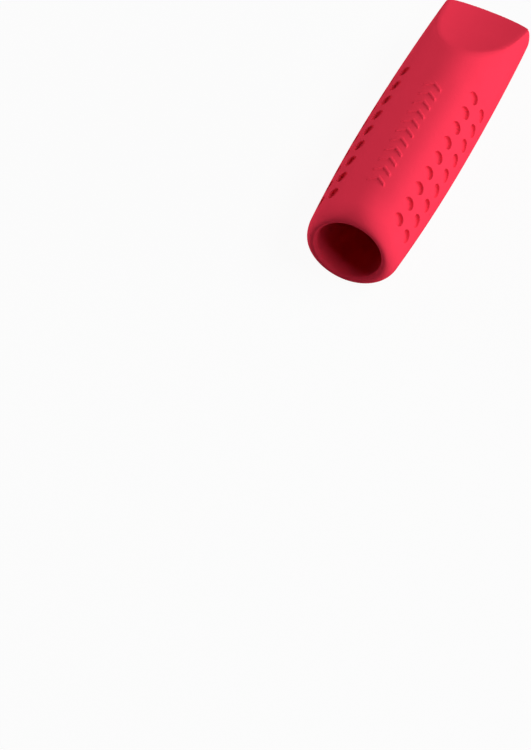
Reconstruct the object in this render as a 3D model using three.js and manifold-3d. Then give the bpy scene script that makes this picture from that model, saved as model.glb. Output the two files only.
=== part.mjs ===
// A cap eraser: one soft moulding with a blind round socket at one end and a chisel tip at the other.
// Millimetres, +Z up. The cap lies on its lower face, its mouth towards -Y and its tip towards +Y.
import * as THREE from 'three';
import { mergeVertices } from 'three/addons/utils/BufferGeometryUtils.js';
import Module from 'manifold-3d';

// Body: a barrel with three soft corners, one of them straight up
const capLength = 45;
const mouthRadius = 5.5;
const bellyRadius = 6.25;
const bellyFromMouth = 20;
const shoulderRadius = 5.65;
const faceCount = 3;
const cornerRise = 0.2;

// Lip around the mouth, rounded down to a narrow flat rim
const lipDepth = 2.2;
const rimWidth = 0.1;

// Socket: a round blind bore with moulding draft
const socketRadius = 4;
const socketDepth = 26;
const socketDraft = 0.15;
const socketLead = 0.3;
const socketFloorFillet = 0.6;

// Tip: a domed end between two dished chisel faces
const domeRadius = 9.85;
const shoulderRound = 0.5;
const chiselFromTip = 14.25;
const crestThickness = 0.3;
const dishRadiusAlong = 45;
const dishRadiusAcross = 20;

// Grip dimples: two rows on each face
const dimpleDiameter = 1.6;
const dimpleDepth = 0.5;
const dimplesPerRow = 9;
const dimplePitch = 2.77;
const firstDimpleFromMouth = 4.05;
const rowFromFaceMiddle = THREE.MathUtils.degToRad(10);

// Fineness of the facets
const bodySides = 48;
const lipSteps = 4;
const stepsToBelly = 6;
const stepsToShoulder = 8;
const shoulderSteps = 3;
const domeSteps = 3;
const socketSides = 32;
const filletSteps = 3;
const dishSides = 96;
const dishSteps = 16;
const dimpleSides = 8;
const dimpleSteps = 5;
const cutterOverlap = 1;
const weldDistance = 1e-4;

const fullTurn = 2 * Math.PI;
const faceAngle = fullTurn / faceCount;
const mouthY = -capLength / 2;
const tipY = capLength / 2;
const bellyY = mouthY + bellyFromMouth;
const lipRound = mouthRadius - socketRadius - socketLead - rimWidth;
const axisHeight = bellyRadius - cornerRise;
const domeCentreY = tipY - domeRadius;
const domeTurn = Math.asin((shoulderRadius - shoulderRound) / (domeRadius - shoulderRound));
const shoulderY = domeCentreY + (domeRadius - shoulderRound) * Math.cos(domeTurn);
const dimpleRadius = ((dimpleDiameter / 2) ** 2 + dimpleDepth ** 2) / (2 * dimpleDepth);

const wasm = await Module();
wasm.setup();

// The barrel's radius at a distance along the cap: a parabola each side of the belly.
function barrelRadius(y) {
  const endY = y < bellyY ? mouthY : shoulderY;
  const endRadius = y < bellyY ? mouthRadius : shoulderRadius;
  const share = (y - bellyY) / (endY - bellyY);
  return bellyRadius - (bellyRadius - endRadius) * share ** 2;
}

// A point of the soft three-cornered section whose outward direction is at the given angle from +Z.
function sectionPoint(y, radius, rise, angle) {
  const reach = radius + rise * Math.cos(faceCount * angle);
  const slide = -faceCount * rise * Math.sin(faceCount * angle);
  const x = reach * Math.sin(angle) + slide * Math.cos(angle);
  const z = reach * Math.cos(angle) - slide * Math.sin(angle);
  return new THREE.Vector3(x, y, z);
}

// The lip's rings, from the round edge of the mouth out to the full barrel.
function lipRings() {
  const rings = [];
  for (let step = 0; step <= lipSteps; step += 1) {
    const turn = (step / lipSteps) * (Math.PI / 2);
    const y = mouthY + lipDepth * (1 - Math.cos(turn));
    const radius = barrelRadius(y) - lipRound * (1 - Math.sin(turn));
    rings.push({ y, radius, rise: cornerRise * Math.sin(turn) });
  }
  return rings;
}

// The barrel's rings between two places, without the one at the first place.
function barrelRings(fromY, toY, steps) {
  const rings = [];
  for (let step = 1; step <= steps; step += 1) {
    const y = THREE.MathUtils.lerp(fromY, toY, step / steps);
    rings.push({ y, radius: barrelRadius(y), rise: cornerRise });
  }
  return rings;
}

// The end's rings: round the shoulder, then over the dome towards its crown.
function endRings() {
  const rings = [];
  for (let step = 1; step <= shoulderSteps; step += 1) {
    const turn = THREE.MathUtils.lerp(Math.PI / 2, domeTurn, step / shoulderSteps);
    const radius = shoulderRadius - shoulderRound * (1 - Math.sin(turn));
    const y = shoulderY + shoulderRound * Math.cos(turn);
    rings.push({ y, radius, rise: cornerRise * (radius / shoulderRadius) });
  }
  for (let step = 1; step < domeSteps; step += 1) {
    const turn = domeTurn * (1 - step / domeSteps);
    const radius = domeRadius * Math.sin(turn);
    const y = domeCentreY + domeRadius * Math.cos(turn);
    rings.push({ y, radius, rise: cornerRise * (radius / shoulderRadius) });
  }
  return rings;
}

function bodyRings() {
  const toBelly = barrelRings(mouthY + lipDepth, bellyY, stepsToBelly);
  const toShoulder = barrelRings(bellyY, shoulderY, stepsToShoulder);
  return [...lipRings(), ...toBelly, ...toShoulder, ...endRings()];
}

// The closed skin through the rings, with a fan at the mouth and one at the crown of the dome.
function bodyGeometry() {
  const rings = bodyRings();
  const positions = [];
  for (const { y, radius, rise } of rings) {
    for (let side = 0; side < bodySides; side += 1) {
      const point = sectionPoint(y, radius, rise, (side / bodySides) * fullTurn);
      positions.push(point.x, point.y, point.z);
    }
  }
  const mouthCentre = positions.length / 3;
  positions.push(0, mouthY, 0);
  const domeCrown = mouthCentre + 1;
  positions.push(0, tipY, 0);

  const index = [];
  const lastRing = (rings.length - 1) * bodySides;
  for (let side = 0; side < bodySides; side += 1) {
    const next = (side + 1) % bodySides;
    for (let ring = 0; ring < lastRing; ring += bodySides) {
      const far = ring + bodySides;
      index.push(ring + side, far + next, far + side);
      index.push(ring + side, ring + next, far + next);
    }
    index.push(mouthCentre, next, side);
    index.push(domeCrown, lastRing + side, lastRing + next);
  }
  const geometry = new THREE.BufferGeometry();
  geometry.setAttribute('position', new THREE.Float32BufferAttribute(positions, 3));
  geometry.setIndex(index);
  return geometry;
}

// The socket's core: a lead-in at the mouth, a slightly tapering bore and a filleted flat floor.
function socketCore() {
  const floorRadius = socketRadius - socketDraft;
  const profile = [
    new THREE.Vector2(0, -cutterOverlap),
    new THREE.Vector2(socketRadius + socketLead + cutterOverlap, -cutterOverlap),
    new THREE.Vector2(socketRadius, socketLead),
  ];
  for (let step = 0; step <= filletSteps; step += 1) {
    const turn = (step / filletSteps) * (Math.PI / 2);
    const radius = floorRadius - socketFloorFillet * (1 - Math.cos(turn));
    const depth = socketDepth - socketFloorFillet * (1 - Math.sin(turn));
    profile.push(new THREE.Vector2(radius, depth));
  }
  profile.push(new THREE.Vector2(0, socketDepth));
  const core = new THREE.LatheGeometry(profile, socketSides);
  core.translate(0, mouthY, 0);
  return core;
}

// The barrel-shaped tool that dishes the upper chisel face. It meets the body's upper corner where the
// chisel starts and the crest's edge at the tip, and bulges down between them.
function dishTool() {
  const startY = tipY - chiselFromTip;
  const start = new THREE.Vector2(startY, barrelRadius(startY) + cornerRise);
  const end = new THREE.Vector2(tipY, crestThickness / 2);
  const chord = end.clone().sub(start);
  const sag = dishRadiusAlong - Math.sqrt(dishRadiusAlong ** 2 - (chord.length() / 2) ** 2);
  const halfLength = chord.length();

  const profile = [new THREE.Vector2(0, -halfLength)];
  for (let step = 0; step <= dishSteps; step += 1) {
    const along = THREE.MathUtils.lerp(-halfLength, halfLength, step / dishSteps);
    const drop = dishRadiusAlong - Math.sqrt(dishRadiusAlong ** 2 - along ** 2);
    profile.push(new THREE.Vector2(dishRadiusAcross - drop, along));
  }
  profile.push(new THREE.Vector2(0, halfLength));

  const tool = new THREE.LatheGeometry(profile, dishSides);
  const slope = Math.atan2(chord.y, chord.x);
  const middle = start.clone().add(end).multiplyScalar(0.5);
  const lift = dishRadiusAcross - sag;
  tool.rotateX(slope);
  tool.translate(0, middle.x - lift * Math.sin(slope), middle.y + lift * Math.cos(slope));
  return tool;
}

// One dimple's ball, sunk in the skin at the given angle round the section.
function dimpleBall(y, angle) {
  const surface = sectionPoint(y, barrelRadius(y), cornerRise, angle);
  const outward = new THREE.Vector3(Math.sin(angle), 0, Math.cos(angle));
  const ball = new THREE.SphereGeometry(dimpleRadius, dimpleSides, dimpleSteps);
  ball.applyQuaternion(new THREE.Quaternion().setFromUnitVectors(new THREE.Vector3(0, 1, 0), outward));
  const centre = surface.addScaledVector(outward, dimpleRadius - dimpleDepth);
  ball.translate(centre.x, centre.y, centre.z);
  return ball;
}

// All the balls: on each face, two rows that run side by side from the mouth.
function dimpleBalls() {
  const balls = [];
  for (let face = 0; face < faceCount; face += 1) {
    const faceMiddle = (face + 0.5) * faceAngle;
    for (const side of [-1, 1]) {
      for (let place = 0; place < dimplesPerRow; place += 1) {
        const y = mouthY + firstDimpleFromMouth + place * dimplePitch;
        balls.push(dimpleBall(y, faceMiddle + side * rowFromFaceMiddle));
      }
    }
  }
  return balls;
}

function toSolid(geometry) {
  const bare = geometry.clone();
  bare.deleteAttribute('normal');
  bare.deleteAttribute('uv');
  const merged = mergeVertices(bare, weldDistance);
  const vertProperties = Float32Array.from(merged.attributes.position.array);
  const triVerts = Uint32Array.from(merged.index.array);
  return new wasm.Manifold(new wasm.Mesh({ numProp: 3, vertProperties, triVerts }));
}

function toGeometry(solid) {
  const mesh = solid.getMesh();
  const geometry = new THREE.BufferGeometry();
  geometry.setAttribute('position', new THREE.BufferAttribute(mesh.vertProperties, 3));
  geometry.setIndex(new THREE.BufferAttribute(mesh.triVerts, 1));
  geometry.computeVertexNormals();
  return geometry;
}

function eraserCapGeometry() {
  const upperDish = dishTool();
  const lowerDish = dishTool().rotateY(Math.PI);
  let solid = toSolid(bodyGeometry());
  for (const cutter of [socketCore(), upperDish, lowerDish, ...dimpleBalls()]) {
    solid = solid.subtract(toSolid(cutter));
  }
  return toGeometry(solid);
}

const softEraser = new THREE.MeshStandardMaterial({ color: 0xd9263f, roughness: 0.75, metalness: 0 });

const eraserCap = new THREE.Mesh(eraserCapGeometry(), softEraser);
eraserCap.name = 'eraser_cap';

const cap = new THREE.Group();
cap.add(eraserCap);
cap.position.z = axisHeight;

export default cap;
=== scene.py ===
import bmesh
import bpy
import math
from mathutils import Matrix, Vector


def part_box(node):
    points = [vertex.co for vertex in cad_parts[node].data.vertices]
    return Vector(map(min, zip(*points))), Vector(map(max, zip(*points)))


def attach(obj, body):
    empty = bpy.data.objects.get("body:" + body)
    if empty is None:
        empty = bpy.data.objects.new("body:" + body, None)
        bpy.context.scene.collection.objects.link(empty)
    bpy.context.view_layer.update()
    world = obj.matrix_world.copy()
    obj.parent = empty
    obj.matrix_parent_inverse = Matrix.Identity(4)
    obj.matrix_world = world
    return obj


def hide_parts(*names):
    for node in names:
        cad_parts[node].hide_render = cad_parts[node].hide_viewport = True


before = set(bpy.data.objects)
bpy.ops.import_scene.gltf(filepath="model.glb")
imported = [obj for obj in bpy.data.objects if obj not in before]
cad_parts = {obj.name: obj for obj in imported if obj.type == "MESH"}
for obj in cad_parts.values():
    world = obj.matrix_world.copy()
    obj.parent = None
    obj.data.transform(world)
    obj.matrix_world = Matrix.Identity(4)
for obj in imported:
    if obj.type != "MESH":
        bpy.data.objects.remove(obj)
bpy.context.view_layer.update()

# The cap is modelled in millimetres, because its details are tiny, and scaled to metres at the end.
perMetre = 1000
facingAlong = 0.9       # a face whose direction is nearer to the cap's axis than this is an end face
nearMiddle = 0.01       # a vertex nearer to the middle plane than this lies on it
lowCorner, highCorner = [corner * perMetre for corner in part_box("eraser_cap")]
mouthY, tipY = lowCorner.y, highCorner.y
bellyRadius = (highCorner.x - lowCorner.x) / 2


def deselectAll():
    if bpy.context.object and bpy.context.object.mode != 'OBJECT':
        bpy.ops.object.mode_set(mode='OBJECT')
    bpy.ops.object.select_all(action='DESELECT')


def makeActive(piece):
    piece.select_set(True)
    bpy.context.view_layer.objects.active = piece


def editSelected(pick, mode='FACE'):     # edit mode with only the picked faces or vertices selected
    bpy.ops.object.mode_set(mode='EDIT')
    bpy.ops.mesh.select_mode(type=mode)
    bpy.ops.mesh.select_all(action='DESELECT')
    mesh = bmesh.from_edit_mesh(bpy.context.object.data)
    for element in (mesh.faces if mode == 'FACE' else mesh.verts):
        if pick(element):
            element.select_set(True)
    mesh.select_flush_mode()
    bmesh.update_edit_mesh(bpy.context.object.data)


def leaveEdit():
    bpy.ops.object.mode_set(mode='OBJECT')


def applyPlace():
    bpy.ops.object.transform_apply(location=True, rotation=True, scale=True)


def applyModifier(piece, kind, name, **settings):
    deselectAll()
    makeActive(piece)
    modifier = piece.modifiers.new(name, kind)
    for key, value in settings.items():
        setattr(modifier, key, value)
    bpy.ops.object.modifier_apply(modifier=name)


def cutAway(piece, cutter, name):
    applyModifier(piece, 'BOOLEAN', name, operation='DIFFERENCE', solver='EXACT', object=cutter)
    bpy.data.objects.remove(cutter)


def joinCopies(original, places):        # one mesh with a copy of the original at each place
    deselectAll()
    for place in places:
        copy = original.copy()
        copy.data = original.data.copy()
        copy.matrix_world = place
        bpy.context.collection.objects.link(copy)
        makeActive(copy)
    bpy.data.objects.remove(original)
    bpy.ops.object.join()
    applyPlace()
    return bpy.context.object


# The barrel body: three soft corners, one of them up, and a lip rolled in at the mouth
body = {
    "mouthRadius": 5.5,
    "bellyFromMouth": 20,
    "shoulderRadius": 5.65,
    "corners": 3,
    "cornerRise": 0.2,
    "lipDepth": 2.2,
    "lipRound": 1.1,
    "domeRadius": 9.85,
    "shoulderRound": 0.5,
    "sides": 192,
    "lipSteps": 16,
    "barrelSteps": 80,
    "shoulderSteps": 10,
    "domeSteps": 16,
}
axisZ = bellyRadius - body["cornerRise"]
bellyY = mouthY + body["bellyFromMouth"]
domeCentreY = tipY - body["domeRadius"]
innerDome = body["domeRadius"] - body["shoulderRound"]
domeTurn = math.asin((body["shoulderRadius"] - body["shoulderRound"]) / innerDome)
shoulderY = domeCentreY + innerDome * math.cos(domeTurn)


def barrelRadius(y):
    towardsMouth = y < bellyY
    endY = mouthY if towardsMouth else shoulderY
    endRadius = body["mouthRadius"] if towardsMouth else body["shoulderRadius"]
    return bellyRadius - (bellyRadius - endRadius) * ((y - bellyY) / (endY - bellyY)) ** 2


def riseAt(y, radius):                   # the corners fade out round the lip and over the dome
    if y > shoulderY:
        return body["cornerRise"] * radius / body["shoulderRadius"]
    inLip = min(max(1 - (y - mouthY) / body["lipDepth"], 0), 1)
    return body["cornerRise"] * math.sqrt(1 - inLip ** 2)


def skinPoint(y, radius, rise, turn):    # on the three-cornered section, at an angle from straight up
    reach = radius + rise * math.cos(body["corners"] * turn)
    slide = -body["corners"] * rise * math.sin(body["corners"] * turn)
    return Vector((reach * math.sin(turn) + slide * math.cos(turn), y,
                   axisZ + reach * math.cos(turn) - slide * math.sin(turn)))


def bodyRings():                         # each ring's place along the cap and its radius
    rings = []
    for step in range(body["lipSteps"] + 1):
        turn = step / body["lipSteps"] * math.pi / 2
        y = mouthY + body["lipDepth"] * (1 - math.cos(turn))
        rings.append((y, barrelRadius(y) - body["lipRound"] * (1 - math.sin(turn))))
    lipEnd = mouthY + body["lipDepth"]
    for step in range(1, body["barrelSteps"] + 1):
        y = lipEnd + (shoulderY - lipEnd) * step / body["barrelSteps"]
        rings.append((y, barrelRadius(y)))
    for step in range(1, body["shoulderSteps"] + 1):
        turn = math.pi / 2 + (domeTurn - math.pi / 2) * step / body["shoulderSteps"]
        y = shoulderY + body["shoulderRound"] * math.cos(turn)
        rings.append((y, body["shoulderRadius"] - body["shoulderRound"] * (1 - math.sin(turn))))
    for step in range(1, body["domeSteps"]):
        turn = domeTurn * (1 - step / body["domeSteps"])
        y = domeCentreY + body["domeRadius"] * math.cos(turn)
        rings.append((y, body["domeRadius"] * math.sin(turn)))
    return rings


def addBody():
    deselectAll()
    rings = bodyRings()
    y, radius = rings[0]
    bpy.ops.mesh.primitive_circle_add(vertices=body["sides"], radius=radius, fill_type='NGON',
                                      location=(0, y, axisZ), rotation=(math.pi / 2, 0, 0))
    piece = bpy.context.object
    piece.name = "capBody"
    applyPlace()
    bpy.ops.object.mode_set(mode='EDIT')
    bpy.ops.mesh.select_all(action='SELECT')
    for nextY, nextRadius in rings[1:]:
        bpy.ops.mesh.extrude_region_move(TRANSFORM_OT_translate={"value": (0, nextY - y, 0)})
        factor = nextRadius / radius
        bpy.ops.transform.resize(value=(factor, 1, factor), center_override=(0, nextY, axisZ))
        y, radius = nextY, nextRadius
    bpy.ops.mesh.select_all(action='SELECT')
    bpy.ops.mesh.normals_make_consistent(inside=False)
    leaveEdit()
    for vertex in piece.data.vertices:   # the round section swells into its three soft corners
        across, up = vertex.co.x, vertex.co.z - axisZ
        turn = math.atan2(across, up)
        radius = math.hypot(across, up)
        vertex.co = skinPoint(vertex.co.y, radius, riseAt(vertex.co.y, radius), turn)
    return piece


# The socket: a blind round bore with a lead-in at the mouth
socket = {
    "radius": 4,
    "depth": 26,
    "draft": 0.15,
    "lead": 0.3,
    "floorFillet": 0.6,
    "filletSteps": 6,
    "sides": 128,
    "overlap": 1,
}


def addSocketCore():
    deselectAll()
    depth = socket["depth"] - socket["lead"]
    bpy.ops.mesh.primitive_cone_add(vertices=socket["sides"], radius1=socket["radius"],
                                    radius2=socket["radius"] - socket["draft"], depth=depth,
                                    location=(0, mouthY + socket["lead"] + depth / 2, axisZ),
                                    rotation=(-math.pi / 2, 0, 0))
    piece = bpy.context.object
    applyPlace()
    editSelected(lambda face: face.normal.y > facingAlong)
    bpy.ops.mesh.region_to_loop()
    bpy.ops.mesh.bevel(offset=socket["floorFillet"], segments=socket["filletSteps"])
    editSelected(lambda face: face.normal.y < -facingAlong)
    flare = 1 + socket["lead"] / socket["radius"]
    bpy.ops.mesh.extrude_region_move(TRANSFORM_OT_translate={"value": (0, -socket["lead"], 0)})
    bpy.ops.transform.resize(value=(flare, 1, flare), center_override=(0, mouthY, axisZ))
    bpy.ops.mesh.extrude_region_move(TRANSFORM_OT_translate={"value": (0, -socket["overlap"], 0)})
    leaveEdit()
    return piece


# The chisel tip: a ring-shaped cutter dishes each face, gently along the cap and tighter across it
chisel = {
    "fromTip": 14.25,
    "crestThickness": 0.3,
    "radiusAlong": 45,
    "radiusAcross": 20,
    "ringSides": 360,
    "tubeSides": 160,
    "keptAbove": 2,
}


def dishRingCentre():
    startY = tipY - chisel["fromTip"]
    start = Vector((0, startY, axisZ + barrelRadius(startY) + body["cornerRise"]))
    end = Vector((0, tipY, axisZ + chisel["crestThickness"] / 2))
    chord = end - start
    rise = math.sqrt(chisel["radiusAlong"] ** 2 - (chord.length / 2) ** 2)
    upright = Vector((0, -chord.z, chord.y)).normalized()
    return (start + end) / 2 + upright * rise


def addDishRing():
    deselectAll()
    bpy.ops.mesh.primitive_torus_add(major_segments=chisel["ringSides"],
                                     minor_segments=chisel["tubeSides"],
                                     major_radius=chisel["radiusAlong"] - chisel["radiusAcross"],
                                     minor_radius=chisel["radiusAcross"],
                                     location=dishRingCentre(), rotation=(0, math.pi / 2, 0))
    piece = bpy.context.object
    applyPlace()
    bpy.ops.object.mode_set(mode='EDIT')
    bpy.ops.mesh.select_all(action='SELECT')
    level = axisZ + bellyRadius + chisel["keptAbove"]
    bpy.ops.mesh.bisect(plane_co=(0, 0, level), plane_no=(0, 0, 1), use_fill=True, clear_outer=True)
    leaveEdit()
    return piece


def addLowerDish(upper):
    deselectAll()
    lower = upper.copy()
    lower.data = upper.data.copy()
    bpy.context.collection.objects.link(lower)
    makeActive(lower)
    lower.matrix_world = Matrix.Translation((0, 0, 2 * axisZ)) @ Matrix.Rotation(math.pi, 4, 'Y')
    applyPlace()
    return lower


# Grip dimples with steep rims: on each face, two rows that run side by side from the mouth
dimple = {
    "width": 1.6,
    "depth": 0.5,
    "steepness": 3,
    "perRow": 9,
    "pitch": 2.77,
    "firstFromMouth": 4.05,
    "fromFaceMiddle": math.radians(10),
    "sides": 32,
    "rings": 16,
}


def addDimpleCutters():
    deselectAll()
    rim = dimple["width"] / 2
    bpy.ops.mesh.primitive_uv_sphere_add(segments=dimple["sides"], ring_count=dimple["rings"],
                                         radius=rim)
    cutter = bpy.context.object
    steepness = dimple["steepness"]
    for vertex in cutter.data.vertices:  # steep at the rim and flat in the middle
        share = min(math.hypot(vertex.co.x, vertex.co.y) / rim, 1)
        level = dimple["depth"] * (1 - share ** steepness) ** (1 / steepness)
        vertex.co.z = math.copysign(level, vertex.co.z)
    places = []
    for face in range(body["corners"]):
        faceMiddle = (face + 0.5) * 2 * math.pi / body["corners"]
        for side in (-1, 1):
            turn = faceMiddle + side * dimple["fromFaceMiddle"]
            for step in range(dimple["perRow"]):
                y = mouthY + dimple["firstFromMouth"] + step * dimple["pitch"]
                spot = skinPoint(y, barrelRadius(y), body["cornerRise"], turn)
                places.append(Matrix.Translation(spot) @ Matrix.Rotation(turn, 4, 'Y'))
    return joinCopies(cutter, places)


# Raised marks: a plain row of small chevrons along the upper corner, pointing to the tip.
# The skin sinks a little around them, so that they end level with the barrel.
mark = {
    "count": 11,
    "pitch": 1.7,
    "firstFromMouth": 6.2,
    "width": 2.1,
    "stroke": 0.42,
    "sweep": 0.75,
    "height": 0.15,
    "sunkFlat": 1.1,
    "sunkReach": 3.4,
    "depthIn": 1,
}


def easeOut(distance, near, far):        # 1 up to the near distance, smoothly down to 0 at the far one
    share = min(max((distance - near) / (far - near), 0), 1)
    return 1 - share * share * (3 - 2 * share)


def sinkSkin(piece):
    start = mouthY + mark["firstFromMouth"]
    middle = start + (mark["count"] - 1) * mark["pitch"] / 2
    halfRow = middle - start + mark["sweep"]
    for vertex in piece.data.vertices:
        if vertex.co.z > axisZ:
            across = easeOut(abs(vertex.co.x), mark["sunkFlat"], mark["sunkReach"])
            along = easeOut(abs(vertex.co.y - middle), halfRow, halfRow + mark["sunkReach"])
            vertex.co.z -= mark["height"] * across * along


def addMarks(level):                     # the bars are trimmed to the barrel's own level
    deselectAll()
    top = axisZ + bellyRadius
    bpy.ops.mesh.primitive_cube_add(size=1, location=(0, 0, top),
                                    scale=(mark["width"], mark["stroke"], 2 * mark["depthIn"]))
    bar = bpy.context.object
    applyPlace()
    bpy.ops.object.mode_set(mode='EDIT')
    bpy.ops.mesh.select_all(action='SELECT')
    bpy.ops.mesh.bisect(plane_co=(0, 0, 0), plane_no=(1, 0, 0))
    editSelected(lambda vertex: abs(vertex.co.x) < nearMiddle, mode='VERT')
    bpy.ops.transform.translate(value=(0, mark["sweep"], 0))
    leaveEdit()
    firstY = mouthY + mark["firstFromMouth"]
    places = [Matrix.Translation((0, firstY + step * mark["pitch"], 0)) for step in range(mark["count"])]
    marks = joinCopies(bar, places)
    applyModifier(marks, 'BOOLEAN', "Level", operation='INTERSECT', solver='EXACT', object=level)
    return marks


# The soft moulded skin: every edge is melted a little, and the border of each chisel face is rounded more
skin = {
    "voxel": 0.07,
    "smoothSteps": 3,
    "smoothFactor": 0.5,
    "borderBlend": 0.65,
    "borderSink": 0.1625,
    "borderMargin": 2,
    "crispCrest": 1.5,
    "triangles": 190000,
}


def borderDistance(place, ringCentre):   # how far from the line where a chisel face meets the barrel
    up = abs(place.z - axisZ)
    spoke = math.hypot(place.y - ringCentre.y, axisZ + up - ringCentre.z)
    tube = math.hypot(spoke - (chisel["radiusAlong"] - chisel["radiusAcross"]), place.x)
    fromDish = abs(chisel["radiusAcross"] - tube)
    turn = math.atan2(place.x, place.z - axisZ)
    rise = body["cornerRise"] * math.cos(body["corners"] * turn)
    fromBarrel = abs(math.hypot(place.x, up) - barrelRadius(min(place.y, shoulderY)) - rise)
    return max(fromDish, fromBarrel)


def roundBorder(piece, ringCentre):      # the skin sinks most along the border, less and less beside it
    startY = tipY - chisel["fromTip"] - skin["borderMargin"]
    normals = [vertex.normal.copy() for vertex in piece.data.vertices]
    for vertex, normal in zip(piece.data.vertices, normals):
        if vertex.co.y > startY:
            nearness = max(1 - borderDistance(vertex.co, ringCentre) / skin["borderBlend"], 0)
            awayFromCrest = min(abs(vertex.co.z - axisZ) / skin["crispCrest"], 1)
            vertex.co -= normal * skin["borderSink"] * nearness ** 2 * awayFromCrest ** 2


def softenSkin(piece, ringCentre):
    applyModifier(piece, 'REMESH', "Skin", mode='VOXEL', voxel_size=skin["voxel"])
    applyModifier(piece, 'SMOOTH', "Melt", factor=skin["smoothFactor"],
                  iterations=skin["smoothSteps"])
    roundBorder(piece, ringCentre)
    applyModifier(piece, 'TRIANGULATE', "Triangles")
    share = skin["triangles"] / len(piece.data.polygons)
    if share < 1:
        applyModifier(piece, 'DECIMATE', "Thin", ratio=share)
    bpy.ops.object.shade_smooth()


# Soft red eraser compound: quite matt and finely grained
eraserFinish = {
    "red": (0.9, 0.042, 0.086, 1),
    "deepRed": (0.87, 0.039, 0.081, 1),
    "roughness": 0.55,
    "roughnessSpread": 0.08,
    "gloss": 0,
    "grainPerMetre": 7000,
    "grainDetail": 2,
    "grainDepth": 0.000012,
    "cloudPerMetre": 260,
    "cloudDetail": 4,
}


def addNode(tree, kind, **settings):
    node = tree.nodes.new(kind)
    for key, value in settings.items():
        setattr(node, key, value)
    return node


def addNoise(tree, perMetre, detail):    # noise in the object's own coordinates
    place = addNode(tree, "ShaderNodeTexCoord")
    noise = addNode(tree, "ShaderNodeTexNoise")
    noise.inputs["Scale"].default_value = perMetre
    noise.inputs["Detail"].default_value = detail
    tree.links.new(place.outputs["Object"], noise.inputs["Vector"])
    return noise


def tintByNoise(tree, noise, low, high):
    tint = addNode(tree, "ShaderNodeMix", data_type='RGBA')
    tint.inputs["A"].default_value = low
    tint.inputs["B"].default_value = high
    shader = tree.nodes["Principled BSDF"]
    tree.links.new(noise.outputs["Fac"], tint.inputs["Factor"])
    tree.links.new(tint.outputs["Result"], shader.inputs["Base Color"])


def eraserMaterial():
    material = bpy.data.materials.new("softEraser")
    material.use_nodes = True
    tree = material.node_tree
    shader = tree.nodes["Principled BSDF"]
    shader.inputs["Specular IOR Level"].default_value = eraserFinish["gloss"]

    clouds = addNoise(tree, eraserFinish["cloudPerMetre"], eraserFinish["cloudDetail"])
    tintByNoise(tree, clouds, eraserFinish["deepRed"], eraserFinish["red"])

    grain = addNoise(tree, eraserFinish["grainPerMetre"], eraserFinish["grainDetail"])
    rough = addNode(tree, "ShaderNodeMapRange")
    rough.inputs["To Min"].default_value = eraserFinish["roughness"] - eraserFinish["roughnessSpread"]
    rough.inputs["To Max"].default_value = eraserFinish["roughness"] + eraserFinish["roughnessSpread"]
    bump = addNode(tree, "ShaderNodeBump")
    bump.inputs["Distance"].default_value = eraserFinish["grainDepth"]
    tree.links.new(grain.outputs["Fac"], rough.inputs["Value"])
    tree.links.new(rough.outputs["Result"], shader.inputs["Roughness"])
    tree.links.new(grain.outputs["Fac"], bump.inputs["Height"])
    tree.links.new(bump.outputs["Normal"], shader.inputs["Normal"])
    return material


def buildCap():
    piece = addBody()
    print("body", len(piece.data.polygons), "faces")
    marks = addMarks(piece)
    sinkSkin(piece)
    upperDish = addDishRing()
    lowerDish = addLowerDish(upperDish)
    cutAway(piece, upperDish, "UpperDish")
    cutAway(piece, lowerDish, "LowerDish")
    cutAway(piece, addSocketCore(), "Socket")
    cutAway(piece, addDimpleCutters(), "Dimples")
    applyModifier(piece, 'BOOLEAN', "Marks", operation='UNION', solver='EXACT', object=marks)
    bpy.data.objects.remove(marks)
    print("cuts and marks made", len(piece.data.polygons), "faces")
    softenSkin(piece, dishRingCentre())
    print("skin softened", len(piece.data.polygons), "faces")
    piece.name = piece.data.name = "eraserCapSkin"
    deselectAll()
    makeActive(piece)
    piece.scale = (1 / perMetre,) * 3
    applyPlace()
    piece.data.materials.clear()
    piece.data.materials.append(eraserMaterial())
    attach(piece, "root")
    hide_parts("eraser_cap")


# A plain pale floor. The camera sees it nearly white, and it keeps the cap's soft shadow.
floorFinish = {
    "size": 6,
    "tint": (0.6, 0.6, 0.6, 1),
    "paleTint": (0.612, 0.612, 0.612, 1),
    "glow": 0.95,
    "roughness": 0.9,
    "cloudPerMetre": 3,
    "cloudDetail": 2,
}


def seenDirectly(tree):                  # 1 for what the camera sees itself, in gloss or through glass
    path = addNode(tree, "ShaderNodeLightPath")
    first = addNode(tree, "ShaderNodeMath", operation='MAXIMUM')
    both = addNode(tree, "ShaderNodeMath", operation='MAXIMUM')
    tree.links.new(path.outputs["Is Camera Ray"], first.inputs[0])
    tree.links.new(path.outputs["Is Glossy Ray"], first.inputs[1])
    tree.links.new(first.outputs["Value"], both.inputs[0])
    tree.links.new(path.outputs["Is Transmission Ray"], both.inputs[1])
    return both


def floorMaterial():
    material = bpy.data.materials.new("paleFloor")
    material.use_nodes = True
    tree = material.node_tree
    shader = tree.nodes["Principled BSDF"]
    shader.inputs["Roughness"].default_value = floorFinish["roughness"]
    shader.inputs["Specular IOR Level"].default_value = 0
    clouds = addNoise(tree, floorFinish["cloudPerMetre"], floorFinish["cloudDetail"])
    tintByNoise(tree, clouds, floorFinish["tint"], floorFinish["paleTint"])
    glow = addNode(tree, "ShaderNodeEmission")
    share = addNode(tree, "ShaderNodeMath", operation='MULTIPLY')
    share.inputs[1].default_value = floorFinish["glow"]
    blend = addNode(tree, "ShaderNodeMixShader")
    tree.links.new(seenDirectly(tree).outputs["Value"], share.inputs[0])
    tree.links.new(share.outputs["Value"], blend.inputs["Fac"])
    tree.links.new(shader.outputs["BSDF"], blend.inputs[1])
    tree.links.new(glow.outputs["Emission"], blend.inputs[2])
    tree.links.new(blend.outputs["Shader"], tree.nodes["Material Output"].inputs["Surface"])
    return material


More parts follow.
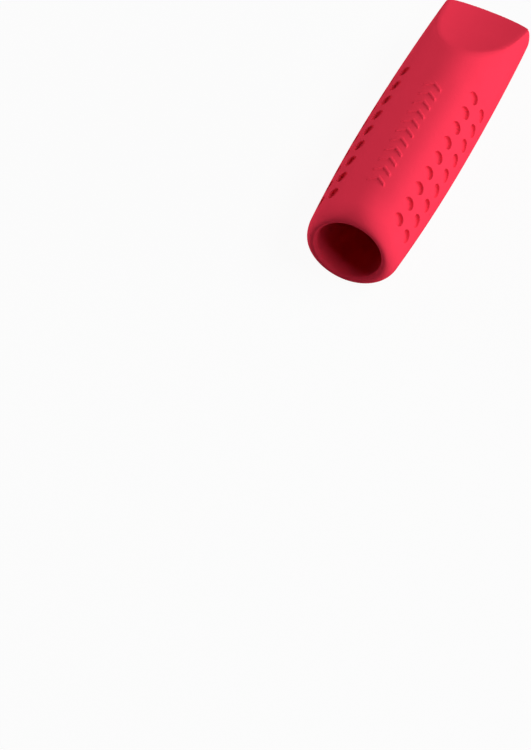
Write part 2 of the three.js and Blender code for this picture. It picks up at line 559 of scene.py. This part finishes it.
def addFloor():
    deselectAll()
    bpy.ops.mesh.primitive_plane_add(size=floorFinish["size"], location=(0, 0, 0))
    floor = bpy.context.object
    floor.name = "floor"
    floor.data.materials.append(floorMaterial())


# Three soft panels, each turned about the cap's axis from straight up and aimed at the cap
lampDistance = 0.6
lamps = {
    "rightLamp": {"turn": math.radians(78), "along": 0.15, "length": 0.5, "width": 0.2, "power": 2.65},
    "highLamp": {"turn": math.radians(34), "along": 0.03, "length": 0.5, "width": 0.2, "power": 2.35},
    "leftLamp": {"turn": math.radians(-80), "along": 0.05, "length": 0.3, "width": 0.2, "power": 1.95},
}


def addLamp(name, panel):                # its length runs along the cap, its width across
    lamp = bpy.data.lights.new(name, 'AREA')
    lamp.shape = 'RECTANGLE'
    lamp.size = panel["length"]
    lamp.size_y = panel["width"]
    lamp.energy = panel["power"]
    holder = bpy.data.objects.new(name, lamp)
    bpy.context.collection.objects.link(holder)
    sideways = lampDistance * math.sin(panel["turn"])
    holder.location = (sideways, panel["along"], lampDistance * math.cos(panel["turn"]))
    holder.rotation_euler = (-holder.location).to_track_quat('-Z', 'Y').to_euler()


def lightWorld():
    world = bpy.data.worlds.new("studioAir")
    bpy.context.scene.world = world
    world.use_nodes = True
    tree = world.node_tree
    air = tree.nodes["Background"]
    air.inputs["Color"].default_value = (1, 1, 1, 1)
    tree.links.new(seenDirectly(tree).outputs["Value"], air.inputs["Strength"])


# The camera looks down on the cap from beside its mouth, rolled so that the tip points up and right
view = {
    "aim": (-0.00327, -0.03544, -0.00421),
    "distance": 0.4748,
    "azimuth": math.radians(16.144),
    "elevation": math.radians(48.329),
    "roll": math.radians(10.088),
    "lens": 200.64,
    "filmHeight": 36,
    "nearest": 0.01,
    "farthest": 20,
}


def addCamera():
    camera = bpy.data.cameras.new("photoView")
    camera.sensor_fit = 'VERTICAL'
    camera.sensor_height = view["filmHeight"]
    camera.lens = view["lens"]
    camera.clip_start = view["nearest"]
    camera.clip_end = view["farthest"]
    holder = bpy.data.objects.new("photoView", camera)
    bpy.context.collection.objects.link(holder)
    flat = math.cos(view["elevation"])
    back = Vector((math.sin(view["azimuth"]) * flat, -math.cos(view["azimuth"]) * flat,
                   math.sin(view["elevation"])))
    holder.location = Vector(view["aim"]) + back * view["distance"]
    level = (-back).to_track_quat('-Z', 'Y').to_matrix()
    holder.rotation_euler = (level @ Matrix.Rotation(view["roll"], 3, 'Z')).to_euler()
    bpy.context.scene.camera = holder


bpy.context.scene.view_settings.view_transform = 'Standard'
buildCap()
addFloor()
for name, panel in lamps.items():
    addLamp(name, panel)
lightWorld()
addCamera()
print("studio set")
